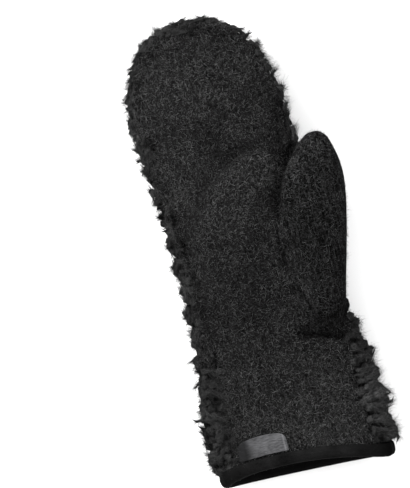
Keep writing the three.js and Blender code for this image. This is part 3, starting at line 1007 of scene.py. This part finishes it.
def add_stitch(points, faces, start, end):
    """A thin thread with pinched ends between two points."""
    along = (end - start).normalized()
    side = along.cross(Vector((0, 0, 1))).normalized()
    up = side.cross(along)
    base = len(points)
    for t, share in STITCH_PROFILE:
        centre = start.lerp(end, t)
        for j in range(STITCH_SIDES):
            theta = 2 * math.pi * j / STITCH_SIDES
            radius = STITCH["radius"] * MM
            points.append(centre + (side * math.cos(theta) + up * math.sin(theta)) * radius * share)
    for k in range(len(STITCH_PROFILE) - 1):
        for j in range(STITCH_SIDES):
            a = base + k * STITCH_SIDES + j
            b = base + k * STITCH_SIDES + (j + 1) % STITCH_SIDES
            faces.append((a, b, b + STITCH_SIDES, a + STITCH_SIDES))


def build_stitches(binding, material):
    """Short stitches along the tape's edge, on the palm and on the back."""
    vertices = [tuple(v.co) for v in binding.data.vertices]
    tape = BVHTree.FromPolygons(vertices, [tuple(p.vertices) for p in binding.data.polygons])
    lo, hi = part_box("cuff_binding")
    points = []
    faces = []
    for top in (True, False):
        lift = STITCH["lift"] if top else -STITCH["lift"]
        offset = Vector((0, -STITCH["inset"] * MM, lift * MM))
        x = lo[0] + STITCH["margin"] * MM
        while x < hi[0] - STITCH["margin"] * MM:
            edges = [binding_edge(tape, x + dx, top) for dx in (0.0, STITCH["length"] * MM)]
            ends = [edge + offset for edge in edges if edge is not None]
            if len(ends) == 2 and (ends[1] - ends[0]).length < STITCH["longest"] * MM:
                add_stitch(points, faces, *ends)
            x += STITCH["spacing"] * MM
    obj = add_object("binding_stitches", points, faces, material)
    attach(obj, "root")


def bow_label(obj):
    """Bows the label's upper edge, as a ribbon does that is sewn down along its lower edge."""
    points, _, _ = mesh_arrays(obj)
    lo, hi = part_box("label")
    across = (2 * points[:, 0] - lo[0] - hi[0]) / (hi[0] - lo[0])
    upward = (points[:, 1] - lo[1]) / (hi[1] - lo[1])
    points[:, 1] += LABEL_BOW * MM * np.clip(1 - across**2, 0, 1) * np.clip(upward, 0, 1)
    set_points(obj, points)


def build_floor():
    corners = [(x * FLOOR_HALF, y * FLOOR_HALF, 0) for x, y in ((-1, -1), (1, -1), (1, 1), (-1, 1))]
    floor = add_object("floor", corners, [(0, 1, 2, 3)], floor_material())


def add_light(name, location, size, power):
    """A round soft light that points at the origin."""
    data = bpy.data.lights.new(name, "AREA")
    data.shape = "DISK"
    data.size = size
    data.energy = power
    light = bpy.data.objects.new(name, data)
    light.location = location
    light.rotation_euler = (-Vector(location)).to_track_quat("-Z", "Y").to_euler()
    bpy.context.scene.collection.objects.link(light)


def light_scene():
    world = bpy.data.worlds.new("studio")
    world.use_nodes = True
    background = world.node_tree.nodes["Background"]
    background.inputs["Color"].default_value = (1, 1, 1, 1)
    background.inputs["Strength"].default_value = WORLD_LIGHT
    bpy.context.scene.world = world
    for light in LIGHTS:
        add_light(*light)


def place_camera():
    data = bpy.data.cameras.new("camera")
    data.sensor_width = SENSOR
    data.lens = SENSOR * (CAMERA_HEIGHT - VIEW_PLACE[2]) / VIEW_HEIGHT
    data.clip_end = 20
    camera = bpy.data.objects.new("camera", data)
    x, y = CUFF_MIDDLE[0] + VIEW_PLACE[0], CUFF_MIDDLE[1] + VIEW_PLACE[1]
    camera.location = (x * MM, y * MM, CAMERA_HEIGHT * MM)
    camera.rotation_euler = (0, 0, VIEW_TURN)
    bpy.context.scene.collection.objects.link(camera)
    bpy.context.scene.camera = camera


def build_pile(rng, everything, plan):
    lock_look = pile_material("curly_pile", *LOCK_COLOURS)
    fibre_look = pile_material("pile_fibres", *PILE_FIBRE_COLOURS)
    base = soft_skin("pile_backing", ["back_panel"], *PILE_SKIN, backing_material())
    sink_backing(base, everything)
    kept = spread(outer_samples(rng, LOCK_CANDIDATES, everything, plan), LOCK_SPACING * MM)
    rings = np.array([lock_rings(rng, place, normal, everything) for place, normal in kept])
    seeds = rng.uniform(0, 50, len(rings))
    for share in range(LOCK_PIECES):
        part = slice(share, None, LOCK_PIECES)
        add_locks(f"pile_locks_{share + 1}", rings[part], seeds[part], lock_look)
    for share in range(PILE_FIBRES["pieces"]):
        add_lock_fibres(rng, f"pile_fuzz_{share + 1}", rings, seeds, fibre_look)


def build_felt(rng, sheets):
    nodes = ["palm_panel", "thumb", "index_finger"]
    felt = soft_skin("felt_shell", nodes, *FELT_SKIN, felt_material(), sheets)
    outside = shape_felt(felt)
    fibre_look = pile_material("felt_fibres", *FELT_FIBRE_COLOURS)
    roots, normals = surface_samples(rng, felt, FELT_FIBRES["count"], outside)
    spin = rng.normal(0, 1, roots.shape)
    flat = spin - normals * (spin * normals).sum(axis=1, keepdims=True)
    lift = rng.uniform(*FELT_FIBRES["lift"], (len(roots), 1))
    lift = lift + RAISED["lift"] * (rng.random((len(roots), 1)) < RAISED["share"])
    headings = flat / np.linalg.norm(flat, axis=1, keepdims=True) + normals * lift
    own = FELT_FIBRE_TONE["most"] * rng.random(len(roots)) ** FELT_FIBRE_TONE["power"]
    tones = felt_painted_light(roots)[0] * (FELT_FIBRE_TONE["least"] + own)
    add_fibres(rng, "felt_fuzz", roots, normals, headings, tones, FELT_FIBRES, fibre_look)


def build_cuff():
    binding = soft_skin("cuff_tape", ["cuff_binding"], *TAPE_SKIN, tape_material())
    build_stitches(binding, thread_material())
    label = soft_skin("satin_tab", ["label"], *LABEL_SKIN, satin_material())
    bow_label(label)


def main():
    rng = np.random.default_rng(SEED)
    bpy.context.scene.view_settings.view_transform = "Standard"
    everything = BVHTree.FromPolygons(*frame_mesh("back_panel", "palm_panel"))
    xs, ys = plan_grid()
    top = top_heights(everything, xs, ys)
    distance = edge_distances(xs, ys, top)
    build_pile(rng, everything, (xs, ys, distance))
    build_felt(rng, [lobe_sheet(xs, ys), rim_sheet(xs, ys, top, distance)])
    build_cuff()
    build_floor()
    light_scene()
    place_camera()


main()
